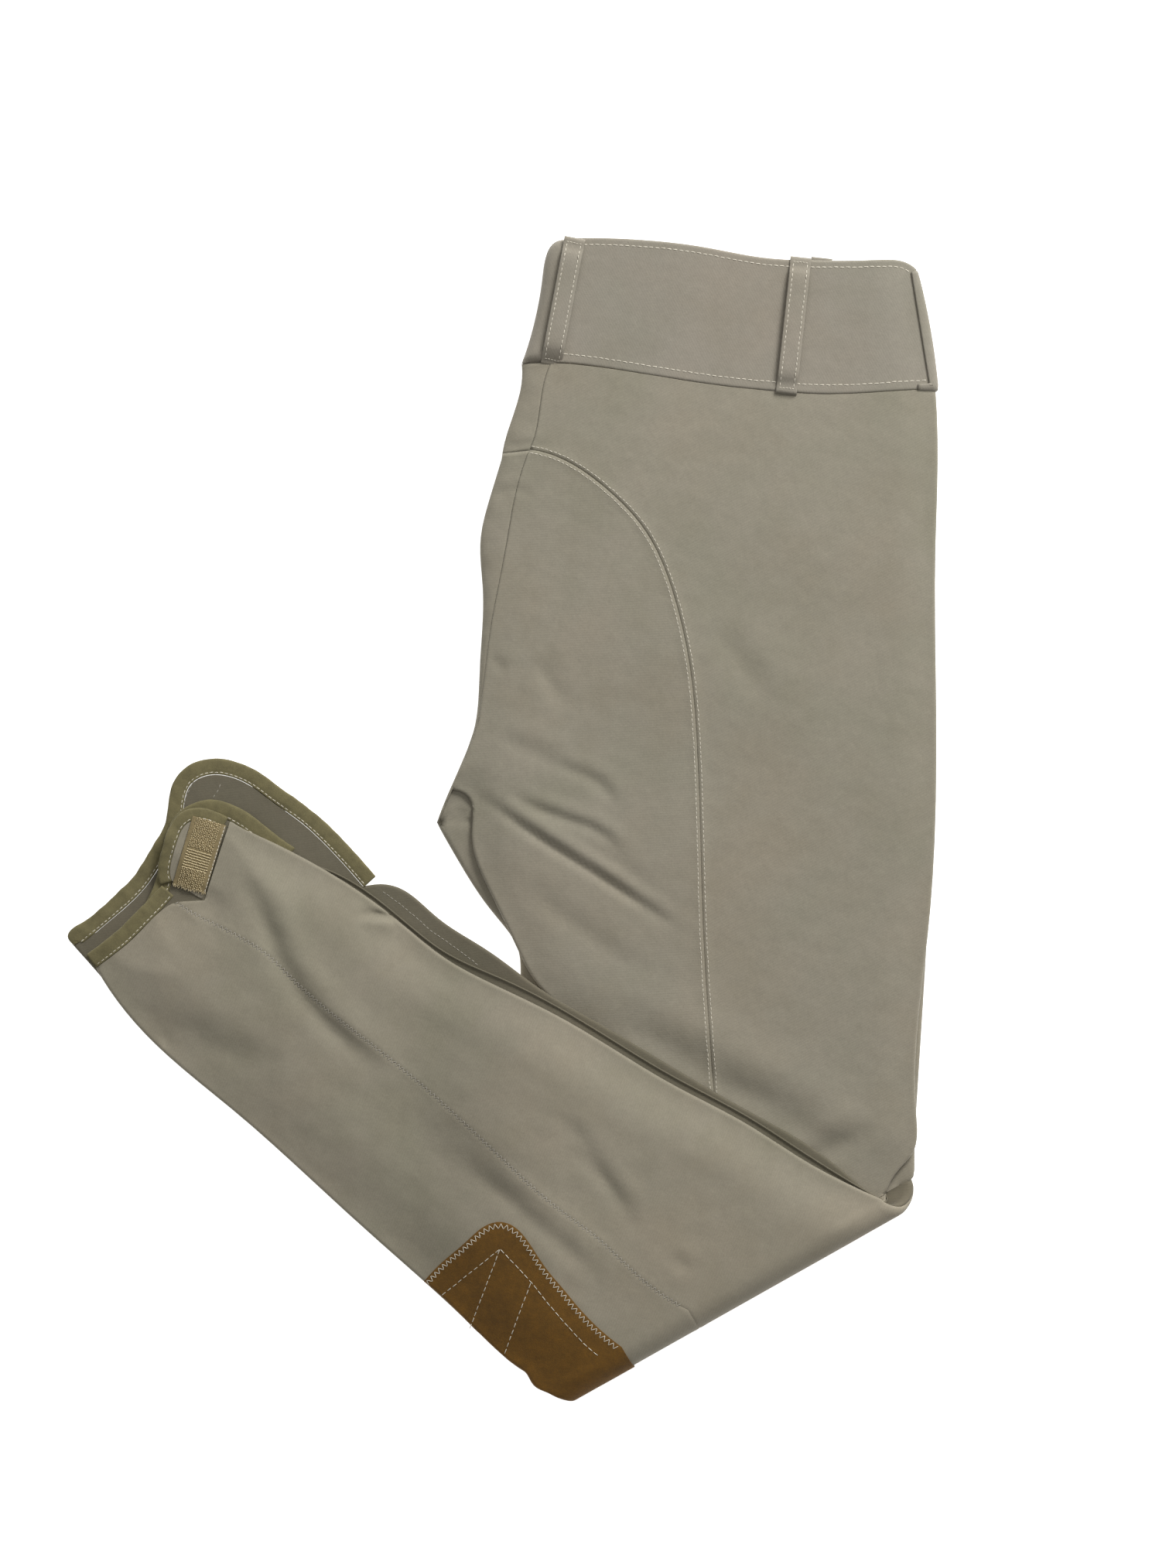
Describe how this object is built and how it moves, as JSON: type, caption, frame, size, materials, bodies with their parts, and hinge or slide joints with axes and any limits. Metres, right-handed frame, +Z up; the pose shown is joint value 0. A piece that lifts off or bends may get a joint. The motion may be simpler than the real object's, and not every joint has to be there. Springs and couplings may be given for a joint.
{
  "type": "riding breeches",
  "caption": "Folded knee-patch riding breeches: wide waistband with belt loops, fly zip, full seat seam, suede knee patches and bound ankle closures.",
  "frame": {"origin": "centre of the folded garment's footprint, on the surface it lies on", "axes": "+X from the centre-back edge across the seat to the side fold, +Y from the knee fold to the waistband, +Z up through the folded plies"},
  "size_m": [0.4508, 0.6022, 0.0273],
  "materials": {
    "shell_fabric": "fine matte stretch gabardine weave",
    "waistband_fabric": "fine matte stretch gabardine weave, fused",
    "facing_fabric": "plain matte lining weave",
    "knee_suede": "brushed brown suede",
    "binding_ribbon": "olive suede-finish binding",
    "hook_tape": "tan woven hook tape",
    "thread": "cream sewing thread",
    "zip_tape": "woven zip tape",
    "zip_coil": "moulded coil",
    "zip_metal": "antique plated",
    "steel": "nickel plated"
  },
  "bodies": {
    "upper": {"right_back_waistband": "waistband_fabric", "right_front_waistband": "waistband_fabric", "left_front_waistband": "waistband_fabric", "left_back_waistband": "waistband_fabric", "right_back_waistband_facing": "facing_fabric", "right_front_waistband_facing": "facing_fabric", "left_front_waistband_facing": "facing_fabric", "left_back_waistband_facing": "facing_fabric", "centre_back_belt_loop": "waistband_fabric", "right_back_belt_loop": "waistband_fabric", "right_side_belt_loop": "waistband_fabric", "right_front_belt_loop": "waistband_fabric", "left_front_belt_loop": "waistband_fabric", "left_side_belt_loop": "waistband_fabric", "left_back_belt_loop": "waistband_fabric", "right_seat_panel": "shell_fabric", "right_back_thigh_panel": "shell_fabric", "right_front_thigh_panel": "shell_fabric", "left_front_thigh_panel": "shell_fabric", "left_back_thigh_panel": "shell_fabric", "left_seat_panel": "shell_fabric", "right_thigh_knee_patch": "knee_suede", "left_thigh_knee_patch": "knee_suede", "left_back_knee_fold": "shell_fabric", "left_front_knee_fold": "shell_fabric", "right_front_knee_fold": "shell_fabric", "right_back_knee_fold": "shell_fabric", "zip_tape_left": "zip_tape", "zip_tape_right": "zip_tape", "zip_coil_left": "zip_coil", "zip_coil_right": "zip_coil", "zip_top_stops": "zip_metal", "zip_bottom_stop": "zip_metal", "fly_facing": "facing_fabric", "fly_shield": "facing_fabric", "waist_hooks": "steel", "waist_bars": "steel"},
    "lower_legs": {"right_calf_inner_panel": "shell_fabric", "right_calf_outer_panel": "shell_fabric", "right_calf_front_panel": "shell_fabric", "left_calf_front_panel": "shell_fabric", "left_calf_outer_panel": "shell_fabric", "left_calf_inner_panel": "shell_fabric", "right_calf_knee_patch": "knee_suede", "left_calf_knee_patch": "knee_suede", "right_hem_binding": "binding_ribbon", "left_hem_binding": "binding_ribbon", "left_front_hem_binding": "binding_ribbon", "right_hook_tape": "hook_tape", "right_loop_tape": "hook_tape", "left_loop_tape": "hook_tape"},
    "zip_slider": {"zip_slider": "zip_metal", "zip_pull": "zip_metal"},
    "left_ankle_tab": {"left_ankle_tab": "shell_fabric", "left_tab_binding": "binding_ribbon", "left_hook_tape": "hook_tape"}
  },
  "joints": [
    {"name": "knee_fold", "type": "hinge", "parent": "upper", "child": "lower_legs", "pos_m": [0.027, -0.2902, 0.0137], "axis": [0.8712, 0.4909, 0], "range_deg": [0, 180], "deforming": ["left_back_knee_fold", "left_front_knee_fold", "right_front_knee_fold", "right_back_knee_fold"]},
    {"name": "fly_zip", "type": "slide", "parent": "upper", "child": "zip_slider", "axis": [-0.1513, -0.9885, 0], "range_m": [0, 0.136]},
    {"name": "left_ankle_closure", "type": "hinge", "parent": "lower_legs", "child": "left_ankle_tab", "pos_m": [-0.1483, -0.0208, 0.0143], "axis": [0.3076, 0.9515, 0], "range_deg": [0, 110]}
  ]
}
